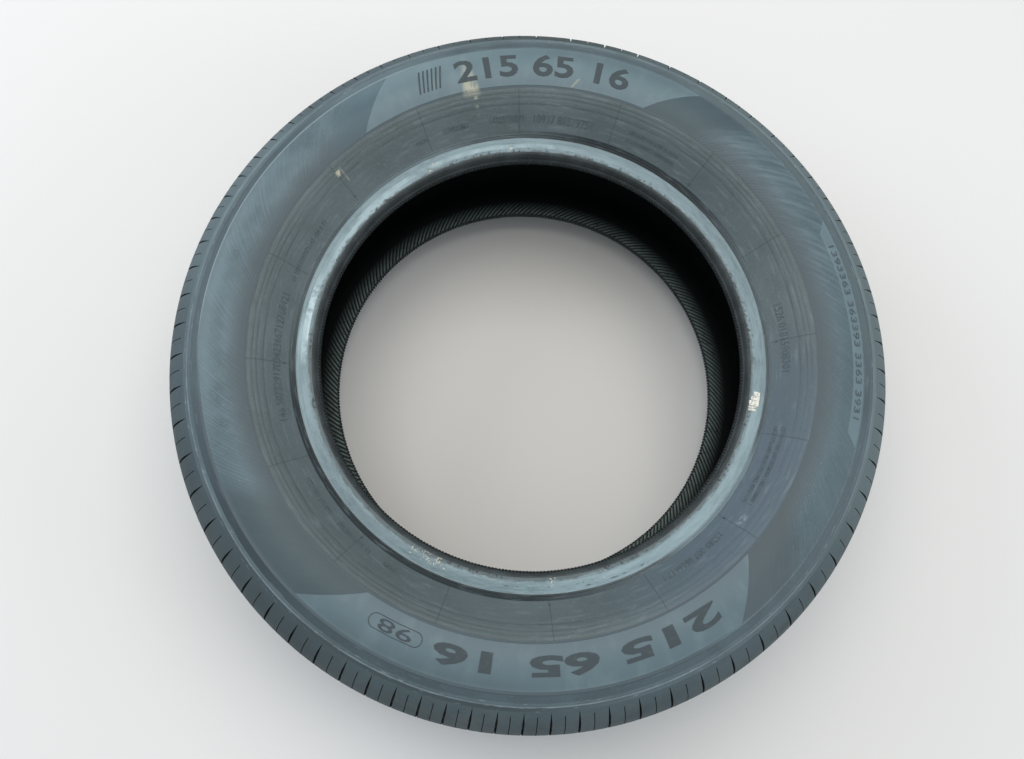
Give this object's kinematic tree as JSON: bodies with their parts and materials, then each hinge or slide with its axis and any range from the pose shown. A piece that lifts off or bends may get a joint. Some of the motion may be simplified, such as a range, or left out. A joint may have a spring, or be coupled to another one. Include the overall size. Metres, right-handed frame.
{
  "type": "old worn car tyre",
  "caption": "Old worn tubeless car tyre off its rim, lying flat on its sidewall, with a bare bead, round shoulders and slotted tread.",
  "frame": {"origin": "on the axle line, at the height of the lowest ring of the sidewall that the tyre lies on", "axes": "+Z along the axle line and upwards, through the upper bead; +X and +Y across the tyre"},
  "size_m": [0.6839, 0.684, 0.224],
  "materials": {
    "tyre": "greyed, dusty, scuffed"
  },
  "bodies": {
    "root": {"tyre": "tyre"}
  },
  "joints": []
}
